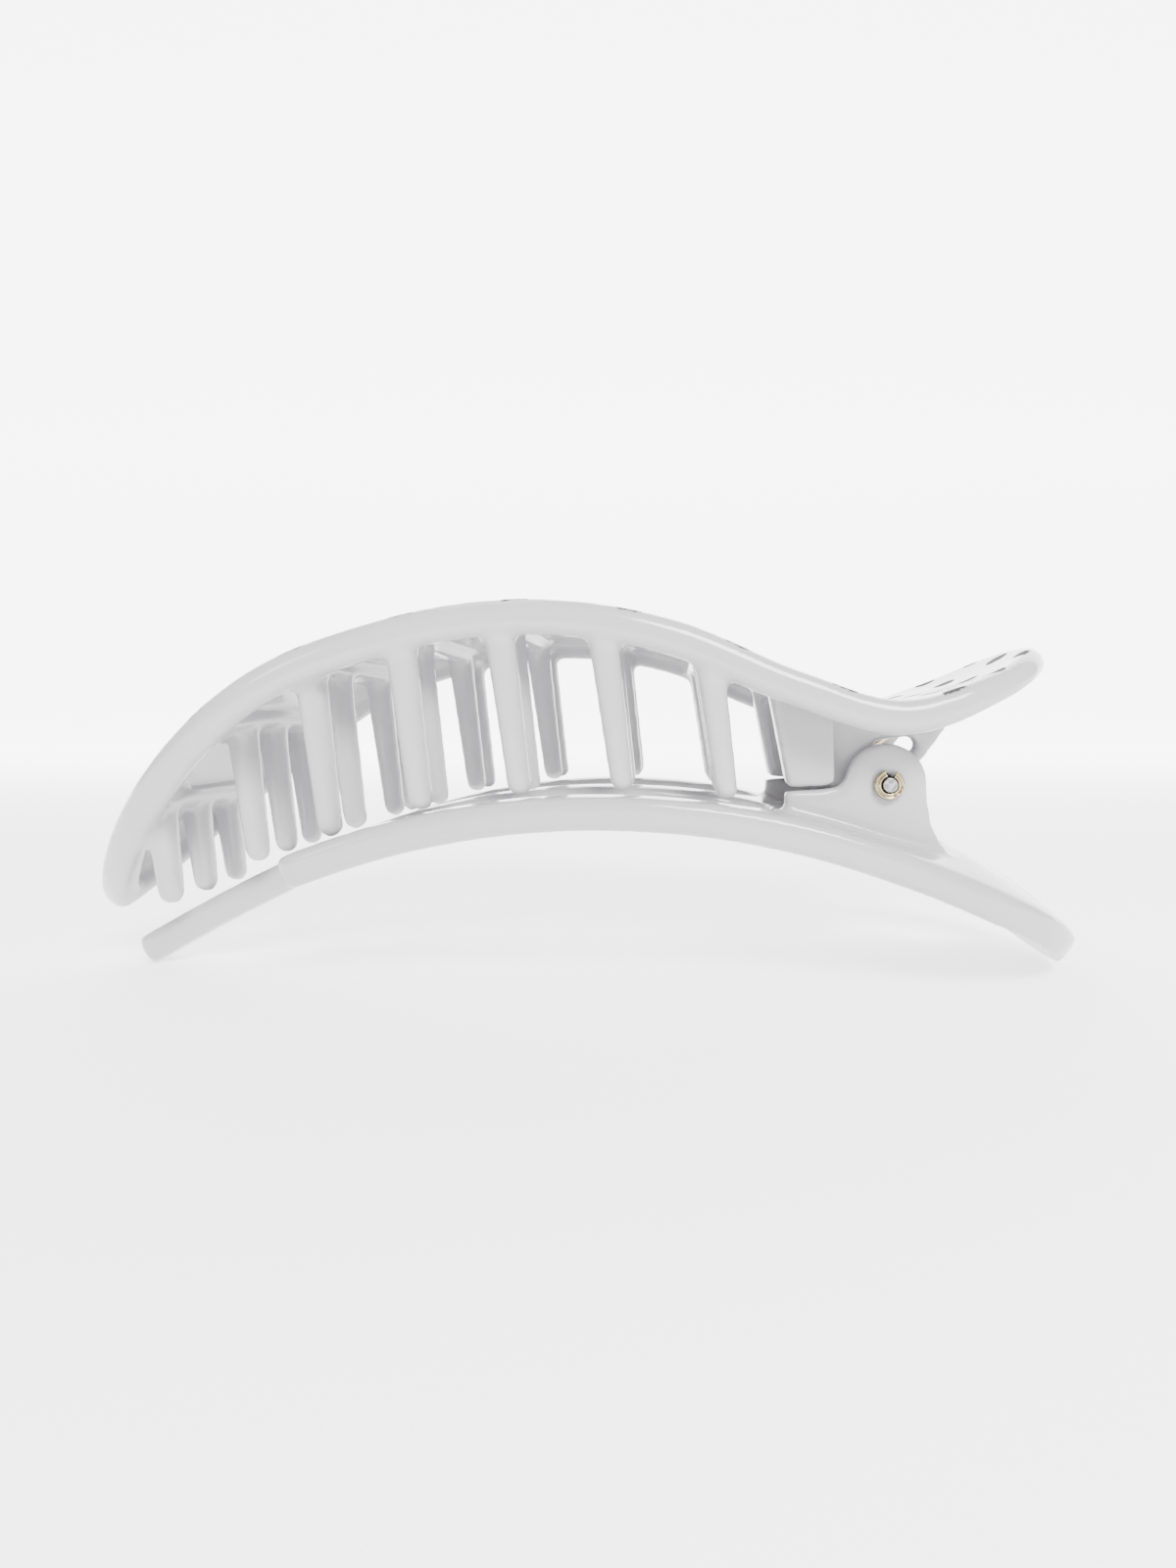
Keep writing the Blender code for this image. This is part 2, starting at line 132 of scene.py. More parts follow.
def on_sole(x, y, off):
    """A point off from the lower jaw's underside, whose tail is domed crosswise."""
    z, slope = UNDERSIDE.at(x)
    turn = np.arctan(slope)
    dome = 3.1 * fade(x, 20, 34) * (1 - 0.7 * fade(x, 38, 50))
    z = z + dome * (1 - (y / HALF) ** 2)
    return np.stack(np.broadcast_arrays(x - off * np.sin(turn), y, z + off * np.cos(turn)), axis=-1)


def quads(rows, columns, first=0):
    """Faces of a grid whose columns close into a ring."""
    i, j = np.meshgrid(np.arange(rows - 1), np.arange(columns), indexing="ij")
    k = (j + 1) % columns
    near, far = i * columns, (i + 1) * columns
    return np.stack([near + j, near + k, far + k, far + j], -1).reshape(-1, 4) + first


class Build:
    """Collects closed surfaces that will be moulded into one piece."""

    def __init__(self):
        self.points, self.faces, self.count = [], [], 0

    def rings(self, grid, capped=True):
        """A tube through rings of points, shape (rings, points round, 3), its ends capped by fans."""
        rows, columns, _ = grid.shape
        self.points.append(grid.reshape(-1, 3))
        faces = quads(rows, columns, self.count).tolist()
        if capped:
            self.points.append(np.stack([grid[0].mean(axis=0), grid[-1].mean(axis=0)]))
            round_ = np.arange(columns)
            after = (round_ + 1) % columns
            start, end = self.count + rows * columns, self.count + rows * columns + 1
            last = self.count + (rows - 1) * columns
            faces += np.stack([after + self.count, round_ + self.count, np.full(columns, start)], -1).tolist()
            faces += np.stack([round_ + last, after + last, np.full(columns, end)], -1).tolist()
            self.count += 2
        self.faces += faces
        self.count += rows * columns
        return self

    def plate(self, outline, near, far):
        """A flat plate: its side view (x, z) carried from one distance across the clip to another."""
        side = np.array(outline, float)
        levels = np.array([near, far])
        grid = np.empty((2, len(side), 3))
        grid[..., 0], grid[..., 2] = side[None, :, 0], side[None, :, 1]
        grid[..., 1] = levels[:, None]
        self.points.append(grid.reshape(-1, 3))
        count = len(side)
        self.faces += quads(2, count, self.count).tolist()
        self.faces.append((np.arange(count)[::-1] + self.count).tolist())
        self.faces.append((np.arange(count) + count + self.count).tolist())
        self.count += 2 * count
        return self

    def object(self, name):
        """The collected surfaces as one object, joined where they meet and facing outwards."""
        data = bpy.data.meshes.new(name)
        data.from_pydata(np.concatenate(self.points).tolist(), [], self.faces)
        mesh = bmesh.new()
        mesh.from_mesh(data)
        bmesh.ops.remove_doubles(mesh, verts=mesh.verts, dist=1e-4)
        bmesh.ops.recalc_face_normals(mesh, faces=mesh.faces)
        mesh.to_mesh(data)
        mesh.free()
        piece = bpy.data.objects.new(name, data)
        bpy.context.scene.collection.objects.link(piece)
        return piece


def baked(piece):
    """The piece with its modifiers made real."""
    graph = bpy.context.evaluated_depsgraph_get()
    data = bpy.data.meshes.new_from_object(piece.evaluated_get(graph))
    piece.modifiers.clear()
    piece.data = data
    return piece


def moulded(piece, cutters, voxel=VOXEL, passes=6):
    """Fuses the surfaces into one skin, cuts the holes, then softens every edge as a mould does."""
    fuse = piece.modifiers.new("fuse", "REMESH")
    fuse.mode = "VOXEL"
    fuse.voxel_size = voxel
    baked(piece)
    for cutter in cutters:
        cut = piece.modifiers.new("cut", "BOOLEAN")
        cut.operation = "DIFFERENCE"
        cut.solver = "EXACT"
        cut.object = cutter
    baked(piece)
    for cutter in cutters:
        bpy.data.objects.remove(cutter)
    again = piece.modifiers.new("skin", "REMESH")
    again.mode = "VOXEL"
    again.voxel_size = voxel
    soften = piece.modifiers.new("soften", "SMOOTH")
    soften.factor = 0.5
    soften.iterations = passes
    return baked(piece)


def in_place(piece, body, replaced=(), smooth=True):
    """Carries a piece from the drawing to the frame, in metres, shades it smooth if asked and gives it its body."""
    flat = np.empty(len(piece.data.vertices) * 3)
    piece.data.vertices.foreach_get("co", flat)
    placed = (flat.reshape(-1, 3) + TO_FRAME) / 1000
    piece.data.vertices.foreach_set("co", placed.ravel())
    if smooth:
        piece.data.shade_smooth()
    piece.data.update()
    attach(piece, body)
    if replaced:
        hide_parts(*replaced)
    return piece


def arc(cx, cz, radius, start, end, count):
    """Points on a circle in the side view, angles in degrees."""
    a = np.radians(np.linspace(start, end, count))
    return np.stack([cx + radius * np.cos(a), cz + radius * np.sin(a)], -1)


def rounded(outline, radius, count=5):
    """An outline with each corner turned into an arc: a quadratic bend between points either side."""
    p = np.array(outline, float)
    before, after = np.roll(p, 1, axis=0) - p, np.roll(p, -1, axis=0) - p
    lb, la = np.linalg.norm(before, axis=1), np.linalg.norm(after, axis=1)
    reach = np.minimum(radius, 0.45 * np.minimum(lb, la))[:, None]
    start, end = p + before / lb[:, None] * reach, p + after / la[:, None] * reach
    t = np.linspace(0, 1, count)[None, :, None]
    bend = start[:, None] * (1 - t) ** 2 + 2 * p[:, None] * t * (1 - t) + end[:, None] * t**2
    return bend.reshape(-1, 2)


def upper_ring(distance):
    """The upper jaw's plan, moved in by the distance: a slim tip, straight sides and a round tab."""
    tip, tab = TOP_FACE[0][0], TOP_FACE[-1][0]
    width = HALF - distance
    a = np.linspace(0, np.pi / 2, 64)
    left = np.stack([tip + TIP_ROUND - (TIP_ROUND - distance) * np.cos(a), width * np.sin(a) ** 1.6], -1)
    b = np.linspace(0, np.pi / 2, 44)
    right = np.stack([tab - TAB_ROUND + (TAB_ROUND - distance) * np.cos(b), width * np.sin(b)], -1)
    straight = np.linspace(right[-1, 0], left[-1, 0], 74)[1:-1]
    side = np.stack([straight, np.full_like(straight, width)], -1)
    half = np.concatenate([right, side, left[::-1]])
    return np.concatenate([half, half[-2:0:-1] * [1, -1]])


def upper_shell(build):
    """Shell and rim: the section (distance in, height) carried round the plan, then bent to the arch."""
    a = np.radians(np.linspace(90, 0, 7))
    crown = np.stack([1.35 - 1.35 * np.cos(a), 1.75 * np.sin(a) - 1.75], -1)
    b = np.radians(np.linspace(0, -90, 7))
    foot = np.stack([1.1 - 1.1 * np.cos(b), 1.2 * np.sin(b) - 2.7], -1)
    c = np.radians(np.linspace(-90, 0, 5))
    heel = np.stack([2.0 + 0.65 * np.sin(np.radians(90) + c), 0.65 * np.sin(c) - 3.25], -1)
    flat_in = np.linspace(HALF, 1.6, 16)
    flat_out = np.linspace(3.3, HALF, 14)
    levels = np.concatenate([
        np.stack([flat_in, 0 * flat_in], -1), crown, foot, heel,
        [[2.68, -2.5], [2.9, -2.1]], np.stack([flat_out, 0 * flat_out - SHELL], -1),
    ])
    grid = np.stack([np.concatenate([upper_ring(d), np.full((len(upper_ring(d)), 1), h)], 1) for d, h in levels])
    build.rings(on_top(grid[..., 0], grid[..., 1], grid[..., 2]), capped=False)


def tooth(build, x, y, tip):
    """A leaning round peg: its radius flares at the root, tapers, and ends in half a ball."""
    z, slope = TOP.at(x - LEAN * 16)
    dome = float(camber(x)) * (1 - (y / HALF) ** 2)
    root = float(z) + dome - SHELL / 2 / math.cos(math.atan(float(slope)))
    length = root - tip
    down = np.linspace(0, length - 1.25, 22)
    radius = 1.82 - 0.5 * (down / length) ** 0.8 + 0.4 * np.exp(-down / 0.9)
    ball = np.radians(np.linspace(8, 84, 7))
    end = radius[-1]
    down = np.concatenate([down, length - 1.25 + 1.25 * np.sin(ball)])
    radius = np.concatenate([radius, end * np.cos(ball)])
    turn = np.linspace(0, 2 * np.pi, 24, endpoint=False)
    grid = np.empty((len(down), len(turn), 3))
    grid[..., 0] = (x - LEAN * (length - down))[:, None] + radius[:, None] * np.cos(turn)
    grid[..., 1] = y + radius[:, None] * np.sin(turn)
    grid[..., 2] = (root - down)[:, None]
    build.rings(grid)


def rib(build, x, y_reach):
    """A low bar under the shell: a rounded section carried across the clip below the arch."""
    y = np.linspace(-y_reach, y_reach, 30)
    section = rounded([(-1.25, -1.0), (1.25, -1.0), (1.0, -3.4), (-1.0, -3.4)], 0.5)
    grid = on_top(x + section[None, :, 0], y[:, None], section[None, :, 1])
    build.rings(grid)


def width_of_upper(x):
    """Half the upper jaw's width at x, read off its plan."""
    half = upper_ring(0.0)
    half = half[half[:, 1] >= 0]
    order = np.argsort(half[:, 0])
    return float(np.interp(x, half[order, 0], half[order, 1]))


def mirrored(build, outline, near, far):
    """The same plate on both sides of the clip."""
    build.plate(outline, near, far)
    build.plate(outline, -far, -near)


def cylinder(name, x, z, radius, near, far):
    """A round cutter that runs across the clip."""
    return Build().plate(arc(x, z, radius, 0, 352.5, 48), near, far).object(name)


def sole_strip(build, stations, half_width, middle, low=0.0, high=SOLE, corner=0.95):
    """A strip of the lower jaw: a rounded oblong section carried along its curve.

    The section's corners are quarter circles; its top and bottom are split so that they can dome.
    """
    half_width = np.broadcast_to(half_width, stations.shape)
    quarter = np.linspace(0, np.pi / 2, 5)
    flat = np.linspace(1, -1, 13)[1:-1]
    signs = [(1, 1, 0), (-1, 1, 1), (-1, -1, 2), (1, -1, 3)]
    across, height, fillet_y, fillet_z = [], [], [], []
    for side, up, turn in signs:
        a = quarter + turn * np.pi / 2
        across += [np.full(5, side)]
        height += [np.full(5, up)]
        fillet_y += [np.cos(a)]
        fillet_z += [np.sin(a)]
        if turn in (0, 2):
            across += [flat * (1 if turn == 0 else -1)]
            height += [np.full(11, up)]
            fillet_y += [np.zeros(11)]
            fillet_z += [np.full(11, 1.0 if turn == 0 else -1.0)]
    across, height = np.concatenate(across), np.concatenate(height)
    fillet_y, fillet_z = np.concatenate(fillet_y), np.concatenate(fillet_z)
    r = np.minimum(corner, half_width * 0.9)[:, None]
    y = middle + (half_width[:, None] - r) * across + r * fillet_y
    off = (low + high) / 2 + ((high - low) / 2 - r) * height + r * fillet_z
    build.rings(on_sole(np.broadcast_to(stations[:, None], y.shape), y, off))


def tine(build, start, end, middle, half_width):
    """A tine: straight sides and a rounded free end."""
    a = np.linspace(0, np.pi / 2, 8)
    tip = start + 2.2 * (1 - np.cos(a))
    stations = np.concatenate([tip, np.arange(start + 3.0, end, 1.0)])
    widths = np.concatenate([half_width - 2.2 + 2.2 * np.sin(a), np.full(len(stations) - 8, half_width)])
    sole_strip(build, stations, widths, middle)


def tail_width(x, less=0.0):
    """Half the tail's width: full up to its round end, then falling along a half ellipse."""
    inner = SOLE_FACE[-1][0] - TAB_ROUND
    part = np.clip((x - inner) / (TAB_ROUND - 0.25 - less), 0, 1)
    return (HALF - less) * np.sqrt(1 - part**2)


def tube(path, radius, sides=14):
    """A round wire: circles set square to the path's direction."""
    along = np.gradient(path, axis=0)
    along /= np.linalg.norm(along, axis=1)[:, None]
    across = np.cross(along, np.array([0.0, 1.0, 0.0]) + 1e-3)
    across /= np.linalg.norm(across, axis=1)[:, None]
    other = np.cross(along, across)
    a = np.linspace(0, 2 * np.pi, sides, endpoint=False)
    ring = across[:, None] * np.cos(a)[None, :, None] + other[:, None] * np.sin(a)[None, :, None]
    return path[:, None] + ring * np.broadcast_to(radius, len(path))[:, None, None]


# Materials.

def shader(name):
    """A new material with its nodes, links and main shader."""
    made = bpy.data.materials.new(name)
    made.use_nodes = True
    return made, made.node_tree.nodes, made.node_tree.links, made.node_tree.nodes["Principled BSDF"]


def math_node(nodes, links, kind, *values):
    """A math node fed with numbers or other nodes' outputs."""
    node = nodes.new("ShaderNodeMath")
    node.operation = kind
    for socket, value in zip(node.inputs, values):
        if isinstance(value, (int, float)):
            socket.default_value = value
        else:
            links.new(value, socket)
    return node.outputs[0]


def grain(nodes, links, bsdf, scale, distance, rough=None, detail=3.0):
    """Fine unevenness: noise on object coordinates as a bump and, if asked, as a roughness range."""
    place = nodes.new("ShaderNodeTexCoord")
    noise = nodes.new("ShaderNodeTexNoise")
    noise.inputs["Scale"].default_value = scale
    noise.inputs["Detail"].default_value = detail
    links.new(place.outputs["Object"], noise.inputs["Vector"])
    bump = nodes.new("ShaderNodeBump")
    bump.inputs["Strength"].default_value = 1.0
    bump.inputs["Distance"].default_value = distance
    links.new(noise.outputs["Fac"], bump.inputs["Height"])
    links.new(bump.outputs["Normal"], bsdf.inputs["Normal"])
    if rough:
        spread = nodes.new("ShaderNodeMapRange")
        spread.inputs["To Min"].default_value, spread.inputs["To Max"].default_value = rough
        links.new(noise.outputs["Fac"], spread.inputs["Value"])
        links.new(spread.outputs["Result"], bsdf.inputs["Roughness"])


def white_plastic(name, printed):
    """Glossy moulded plastic, a little cloudy in its depth; printed adds the dots on the outer face."""
    made, nodes, links, bsdf = shader(name)
    bsdf.inputs["Base Color"].default_value = (0.41, 0.405, 0.418, 1)
    bsdf.inputs["Subsurface Weight"].default_value = 0.12
    bsdf.inputs["Subsurface Radius"].default_value = (1.0, 0.9, 0.85)
    bsdf.inputs["Subsurface Scale"].default_value = 0.0012
    grain(nodes, links, bsdf, 260.0, 0.000012, rough=(0.1, 0.17))
    if not printed:
        return made
    place = nodes.new("ShaderNodeAttribute")
    place.attribute_name = "print_place"
    parts = nodes.new("ShaderNodeSeparateXYZ")
    links.new(place.outputs["Vector"], parts.inputs[0])
    long_step, cross_step, radius = 12.4, 7.4, 1.45
    nearest = None
    for shift in (0.0, 0.5):
        along = math_node(nodes, links, "ADD", parts.outputs["X"], shift * long_step)
        across = math_node(nodes, links, "ADD", parts.outputs["Y"], shift * cross_step)
        along = math_node(nodes, links, "WRAP", along, long_step / 2, -long_step / 2)
        across = math_node(nodes, links, "WRAP", across, cross_step / 2, -cross_step / 2)
        along = math_node(nodes, links, "MULTIPLY", along, along)
        square = math_node(nodes, links, "MULTIPLY_ADD", across, across, along)
        distance = math_node(nodes, links, "SQRT", square)
        nearest = distance if nearest is None else math_node(nodes, links, "MINIMUM", nearest, distance)
    edge = nodes.new("ShaderNodeMapRange")
    edge.inputs["From Min"].default_value, edge.inputs["From Max"].default_value = radius - 0.05, radius + 0.05
    edge.inputs["To Min"].default_value, edge.inputs["To Max"].default_value = 1.0, 0.0
    links.new(nearest, edge.inputs["Value"])
    ink = math_node(nodes, links, "MULTIPLY", edge.outputs["Result"], parts.outputs["Z"])
    mix = nodes.new("ShaderNodeMix")
    mix.data_type = "RGBA"
    mix.inputs["A"].default_value = (0.41, 0.405, 0.418, 1)
    mix.inputs["B"].default_value = (0.012, 0.012, 0.013, 1)
    links.new(ink, mix.inputs["Factor"])
    links.new(mix.outputs["Result"], bsdf.inputs["Base Color"])
    matt = nodes.new("ShaderNodeMapRange")
    matt.inputs["To Min"].default_value, matt.inputs["To Max"].default_value = 0.13, 0.8
    links.new(ink, matt.inputs["Value"])
    links.new(matt.outputs["Result"], bsdf.inputs["Roughness"])
    return made


def metal(name, color, rough, scale, distance, tarnish=None):
    """Bare metal with a worked surface; tarnish darkens it in soft patches."""
    made, nodes, links, bsdf = shader(name)
    bsdf.inputs["Metallic"].default_value = 1.0
    bsdf.inputs["Base Color"].default_value = (*color, 1)
    grain(nodes, links, bsdf, scale, distance, rough=rough)
    if tarnish:
        place = nodes.new("ShaderNodeTexCoord")
        cloud = nodes.new("ShaderNodeTexNoise")
        cloud.inputs["Scale"].default_value = 900.0
        links.new(place.outputs["Object"], cloud.inputs["Vector"])
        mix = nodes.new("ShaderNodeMix")
        mix.data_type = "RGBA"
        mix.inputs["A"].default_value = (*color, 1)
        mix.inputs["B"].default_value = (*tarnish, 1)
        links.new(cloud.outputs["Fac"], mix.inputs["Factor"])
        links.new(mix.outputs["Result"], bsdf.inputs["Base Color"])
    return made


def dressed(piece, finish):
    """Gives a piece its one material."""
    piece.data.materials.clear()
    piece.data.materials.append(finish)
    return piece


# The upper jaw.

build = Build()
upper_shell(build)
for line_x, line_tip, line_rows in TOOTH_LINES:
    rib(build, line_x - LEAN * 17, width_of_upper(line_x - LEAN * 17) - 1.4)
    for row in line_rows:
        tooth(build, line_x, row, line_tip)
lug = np.concatenate([
    [(11.2, 4.6), (12.9, -7.2)], arc(24.2, -7.0, 4.2, 195, 385, 30),
    [(29.6, -3.6), (31.8, -0.6), (34.0, 3.4), (25.0, 1.0), (18.5, 2.2)],
])
cheek = [(10.4, 5.2), (12.9, -7.45), (17.9, -7.1), (18.3, -6.7), (18.0, 2.4)]
mirrored(build, lug, 6.2, 8.0)
mirrored(build, cheek, 6.9, 10.2)
slot_hole = np.concatenate([arc(27.3, -2.5, 0.95, -70, 110, 12), [(23.2, -2.1), (23.4, -3.6)]])
holes = [
    cylinder("pin_bore", 24.2, -7.0, 1.15, -12, 12),
    Build().plate(slot_hole, 5.0, 9.0).object("slot_far"),
    Build().plate(slot_hole, -9.0, -5.0).object("slot_near"),
]
upper = moulded(build.object("upper_jaw_moulding"), holes)
spots = np.empty(len(upper.data.vertices) * 3)
upper.data.vertices.foreach_get("co", spots)
spots = spots.reshape(-1, 3)
face_z, face_slope = TOP.at(spots[:, 0])
face_z = face_z + camber(spots[:, 0]) * (1 - (spots[:, 1] / HALF) ** 2)
depth = (face_z - spots[:, 2]) * np.cos(np.arctan(face_slope))
run = TOP.length(spots[:, 0]) - TOP.length(41.2)
place = np.stack([run, spots[:, 1], (depth < 0.3).astype(float)], -1)
layer = upper.data.attributes.new("print_place", "FLOAT_VECTOR", "POINT")
layer.data.foreach_set("vector", place.ravel().astype(np.float32))
dressed(in_place(upper, "upper", ["upper_jaw"]), white_plastic("printed white plastic", True))

# The lower jaw.

build = Build()
tine(build, -66.6, 12.0, 0.0, 2.8)
tine(build, -42.2, 12.0, 13.5, 2.5)
tine(build, -42.2, 12.0, -13.5, 2.5)
a = np.linspace(0, np.pi / 2 * 0.97, 26)
inner = SOLE_FACE[-1][0] - TAB_ROUND
stations = np.concatenate([np.arange(7.0, inner - 0.5, 1.0), inner + (TAB_ROUND - 0.25) * np.sin(a)])
sole_strip(build, stations, tail_width(stations), 0.0)
ear = np.concatenate([
    [(12.5, -12.5), (12.6, -7.85), (18.7, -7.45)], arc(24.2, -7.0, 4.7, 172, 10, 28),
    [(28.9, -9.0), (29.3, -11.6), (30.5, -14.0), (33.1, -16.8), (37.0, -19.6), (36.0, -21.5), (24.0, -15.6)],
])
mirrored(build, ear, 8.3, 10.3)
a = np.linspace(0, np.pi / 2 * 0.97, 16)
hollow_x = np.concatenate([np.arange(15.0, inner - 0.5, 1.0), inner + (TAB_ROUND - 3.45) * np.sin(a)])
hollow, window = Build(), Build()
sole_strip(hollow, hollow_x, tail_width(hollow_x, 3.2), 0.0, low=-4.0, high=SOLE - 1.6, corner=0.7)
t = np.linspace(0, np.pi / 2, 9)
window_x = np.concatenate([28.9 + 3.5 * (1 - np.cos(t)), np.arange(33.0, 37.0, 1.0), 37.1 + 3.5 * np.sin(t)])
window_half = np.concatenate([0.05 + 3.45 * np.sin(t), np.full(4, 3.5), 0.05 + 3.45 * np.cos(t)])
sole_strip(window, window_x, window_half, 0.0, low=-4.0, high=SOLE + 3.0, corner=0.04)
slots = [Build().rings(np.stack([
    np.concatenate([np.stack([6.9 + 4.1 * np.cos(w), side * 6.9 + 4.1 * np.sin(w)], -1), np.full((48, 1), z)], 1)
    for z in (-22.0, -4.0)])).object("slot_end")
    for side in (-1, 1) for w in [np.linspace(0, 2 * np.pi, 48, endpoint=False)]]
bore = cylinder("pin_bore", 24.2, -7.0, 1.15, -12, 12)
cutters = [hollow.object("tail_hollow"), window.object("tail_window"), bore] + slots
lower = moulded(build.object("lower_jaw_moulding"), cutters)
dressed(in_place(lower, "lower", ["lower_jaw"]), white_plastic("white plastic", False))

# Pin, retaining rings and spring.

def turned_pin():
    """The pin: a profile turned about its axis, its end faces hammered into shallow dents."""
    end = np.linspace(0.02, 0.72, 9)
    rim = np.radians(np.linspace(0, 90, 5))
    radius = np.concatenate([end, 0.72 + 0.11 * np.sin(rim)])
    reach = np.concatenate([0 * end + 11.42, 11.31 + 0.11 * np.cos(rim)])
    radius = np.concatenate([radius, radius[::-1]])
    reach = np.concatenate([reach, -reach[::-1]])
    a = np.linspace(0, 2 * np.pi, 40, endpoint=False)
    x, z = radius[:, None] * np.cos(a), radius[:, None] * np.sin(a)
    dent = 0.07 * np.sin(5.1 * x + 1.3) * np.cos(4.3 * z - 0.6) - 0.06 * np.exp(-((x - 0.2) ** 2 + (z + 0.15) ** 2) / 0.08)
    y = reach[:, None] + np.where(radius[:, None] < 0.72, np.sign(reach)[:, None] * dent, 0)
    build = Build()
    build.rings(np.stack([x + 24.2, y, z - 7.0], -1))
    return build.object("turned_pin")


def retaining_ring(name, outer_face, side):
    """A spring ring: a section with two beads, carried round the pin and left open at its gap.

    The section's height is a low plate plus two rounded humps; its ends and one nick pinch it in.
    """
    a = np.radians(np.linspace(107, 421, 96))
    across = np.linspace(0, 1, 15)
    humps = 0.62 + 0.38 * np.abs(np.sin(2 * np.pi * across)) ** 0.7
    humps[0] = humps[-1] = 0.35
    nick = 1 - 0.32 * np.exp(-((np.degrees(a) - 306) / 8) ** 2)
    inner_r, outer_r = 0.9, 1.74
    radius = inner_r + (outer_r - inner_r) * across
    thick = 0.58
    grid = np.empty((len(a), 30, 3))
    r = inner_r + (radius - inner_r)[None, :] * nick[:, None]
    face = outer_face - side * thick + side * thick * humps[None, :] * np.ones((len(a), 1))
    back = outer_face - side * thick
    grid[:, :15, 0], grid[:, 15:, 0] = 24.2 + r * np.cos(a)[:, None], 24.2 + r[:, ::-1] * np.cos(a)[:, None]
    grid[:, :15, 2], grid[:, 15:, 2] = -7.0 + r * np.sin(a)[:, None], -7.0 + r[:, ::-1] * np.sin(a)[:, None]
    grid[:, :15, 1], grid[:, 15:, 1] = face, back
    build = Build()
    build.rings(grid)
    return build.object(name)


def let_go(side, point):
    """The angle at which a straight leg to the point leaves the coil along its tangent."""
    dx, dz = point[0] - 24.2, point[1] + 7.0
    return math.atan2(dz, dx) + side * math.acos(2.0 / math.hypot(dx, dz))


def spring_half(name, side, leg, start):
    """Half of the coil and one leg: a helix round the pin that runs out along its own tangent."""
    leave = let_go(side, leg)
    turns = side * (start - leave) / (2 * math.pi)
    turns += round(3 - turns)
    share = np.linspace(0, 1, round(turns * 30))
    turn = leave + side * 2 * math.pi * turns * (1 - share)
    coil = np.stack([24.2 + 2.0 * np.cos(turn), side * 5.2 * share, -7.0 + 2.0 * np.sin(turn)], -1)
    end = np.array([leg[0], side * 5.2, leg[1]])
    straight = coil[-1] + (end - coil[-1]) * np.linspace(0, 1, 16)[1:, None]
    path = np.concatenate([coil, straight])
    radius = np.full(len(path), 0.44)
    radius[[0, -1]] = 0.36
    build = Build()
    build.rings(tube(path, radius))
    return build.object(name)


def height_on(points_of, curve, place, off):
    """The height of a jaw's bent surface at a place along the clip, where a spring leg meets it."""
    x = np.linspace(curve.x[0], curve.x[-1], 400)
    bent = points_of(x, np.full_like(x, 5.2), np.full_like(x, off))
    return float(np.interp(place, bent[:, 0], bent[:, 2]))


steel = metal("drawn steel", (0.34, 0.33, 0.33), (0.22, 0.4), 1400.0, 0.00002)
brass = metal("brass plating", (0.5, 0.43, 0.29), (0.12, 0.26), 1800.0, 0.000008, tarnish=(0.36, 0.29, 0.17))
dark_brass = metal("drawn spring wire", (0.55, 0.44, 0.3), (0.2, 0.34), 1600.0, 0.00001, tarnish=(0.36, 0.28, 0.19))

dressed(in_place(turned_pin(), "lower", ["hinge_pin"]), steel)
dressed(in_place(retaining_ring("retaining_ring_near", -11.19, -1), "lower", ["retainer_near"]), brass)
dressed(in_place(retaining_ring("retaining_ring_far", 11.19, 1), "lower", ["retainer_far"]), brass)
tail_leg = (31.0, height_on(on_sole, UNDERSIDE, 31.0, SOLE) + 0.8625)
tab_leg = (35.0, height_on(on_top, TOP, 35.0, -SHELL) - 0.8625)
middle = let_go(1, tab_leg)
dressed(in_place(spring_half("spring_half_upper", 1, tab_leg, middle), "upper", ["spring_upper"]), dark_brass)
dressed(in_place(spring_half("spring_half_lower", -1, tail_leg, middle + 0.325), "lower", ["spring_lower"]), dark_brass)

# Floor, light and camera.

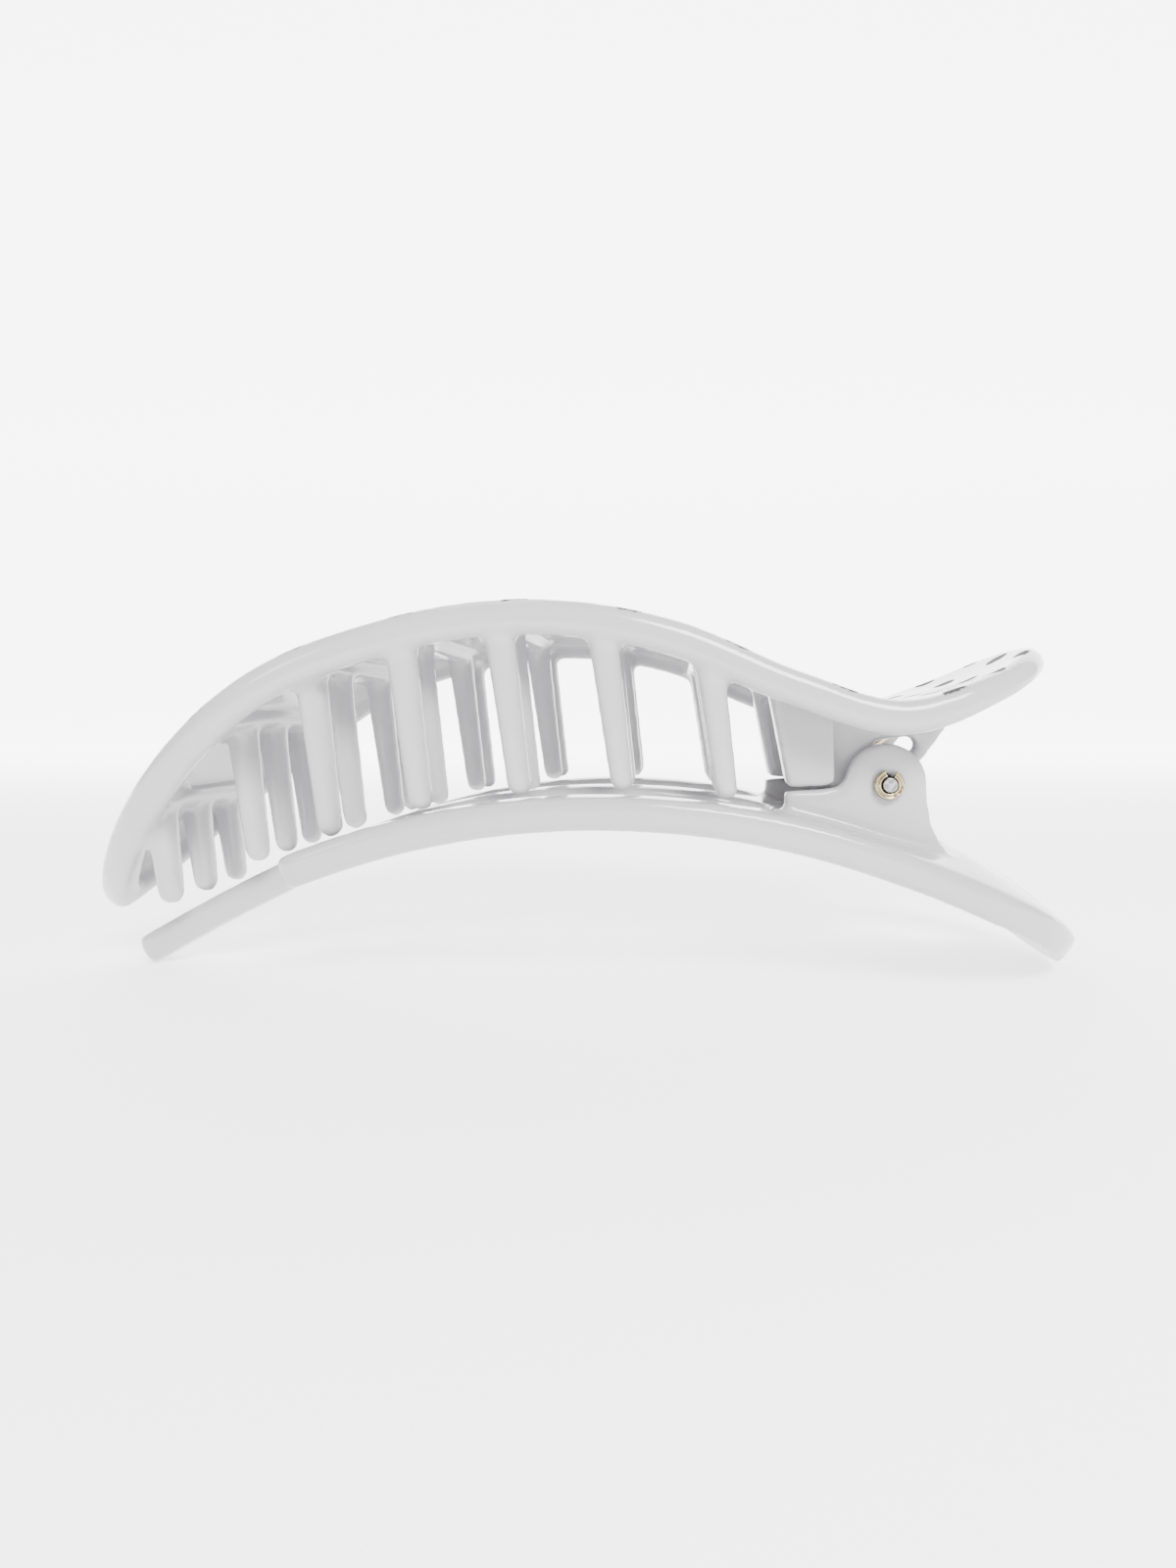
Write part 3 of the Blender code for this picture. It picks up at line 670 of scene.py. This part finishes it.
def backdrop():
    """A seamless backlit sheet: a flat floor that turns up into a wall along a quarter circle."""
    a = np.radians(np.linspace(0, 90, 16))
    run = np.concatenate([[-1.5, 0.8], 0.8 + 0.6 * np.sin(a[1:]), [1.4]])
    rise = np.concatenate([[0, 0], 0.6 - 0.6 * np.cos(a[1:]), [2.6]])
    x = np.array([-3.0, 3.0])
    grid = np.stack(np.broadcast_arrays(x[None, :], run[:, None], rise[:, None]), -1)
    rows = len(run)
    i = np.arange(rows - 1)
    faces = np.stack([2 * i, 2 * i + 1, 2 * i + 3, 2 * i + 2], -1)
    data = bpy.data.meshes.new("studio_sheet")
    data.from_pydata(grid.reshape(-1, 3).tolist(), [], faces.tolist())
    data.shade_smooth()
    sheet = bpy.data.objects.new("studio_sheet", data)
    bpy.context.scene.collection.objects.link(sheet)
    made, nodes, links, bsdf = shader("white paper")
    bsdf.inputs["Base Color"].default_value = (0.75, 0.75, 0.75, 1)
    bsdf.inputs["Roughness"].default_value = 0.9
    bsdf.inputs["Specular IOR Level"].default_value = 0.1
    bsdf.inputs["Emission Color"].default_value = (1, 1, 1, 1)
    place = nodes.new("ShaderNodeTexCoord")
    parts = nodes.new("ShaderNodeSeparateXYZ")
    links.new(place.outputs["Object"], parts.inputs[0])
    glow = nodes.new("ShaderNodeMapRange")
    glow.interpolation_type = "SMOOTHSTEP"
    glow.inputs["From Min"].default_value, glow.inputs["From Max"].default_value = 0.02, 0.5
    glow.inputs["To Min"].default_value, glow.inputs["To Max"].default_value = 1.9, 5.6
    links.new(parts.outputs["Y"], glow.inputs["Value"])
    links.new(glow.outputs["Result"], bsdf.inputs["Emission Strength"])
    data.materials.append(made)
    return sheet


backdrop()

world = bpy.data.worlds.new("soft room")
world.use_nodes = True
world.node_tree.nodes["Background"].inputs["Color"].default_value = (1, 1, 1, 1)
world.node_tree.nodes["Background"].inputs["Strength"].default_value = 0.85
bpy.context.scene.world = world


def soft_light(name, place, aim, size, power):
    """A rectangular lamp that faces the point it is aimed at."""
    light = bpy.data.lights.new(name, "AREA")
    light.shape = "RECTANGLE"
    light.size, light.size_y = size
    light.energy = power
    lamp = bpy.data.objects.new(name, light)
    lamp.location = place
    direction = np.array(aim) - np.array(place)
    tilt = math.acos(-direction[2] / np.linalg.norm(direction))
    lamp.rotation_euler = (tilt, 0, math.atan2(direction[1], direction[0]) - math.pi / 2)
    bpy.context.scene.collection.objects.link(lamp)
    return lamp


soft_light("strip", (0.13, -0.27, 0.29), (0.02, 0, 0.02), (0.2, 0.11), 3.6)
soft_light("front_left", (-0.45, -0.5, 0.25), (0, 0, 0.02), (0.12, 0.12), 0.7)
soft_light("overhead", (-0.15, 0.0, 0.5), (0, 0, 0.02), (0.25, 0.15), 0.6)

lens = bpy.data.cameras.new("camera")
lens.sensor_fit = "VERTICAL"
lens.sensor_height = 36
lens.lens = 36 * 727 / 1600
lens.shift_x = -90 / 1600
lens.shift_y = -62 / 1600
lens.clip_start = 0.002
lens.clip_end = 20
eye = bpy.data.objects.new("camera", lens)
eye.location = (TO_FRAME[0] / 1000, -0.0917, TO_FRAME[2] / 1000)
eye.rotation_euler = (math.pi / 2, 0, 0)
bpy.context.scene.collection.objects.link(eye)
bpy.context.scene.camera = eye
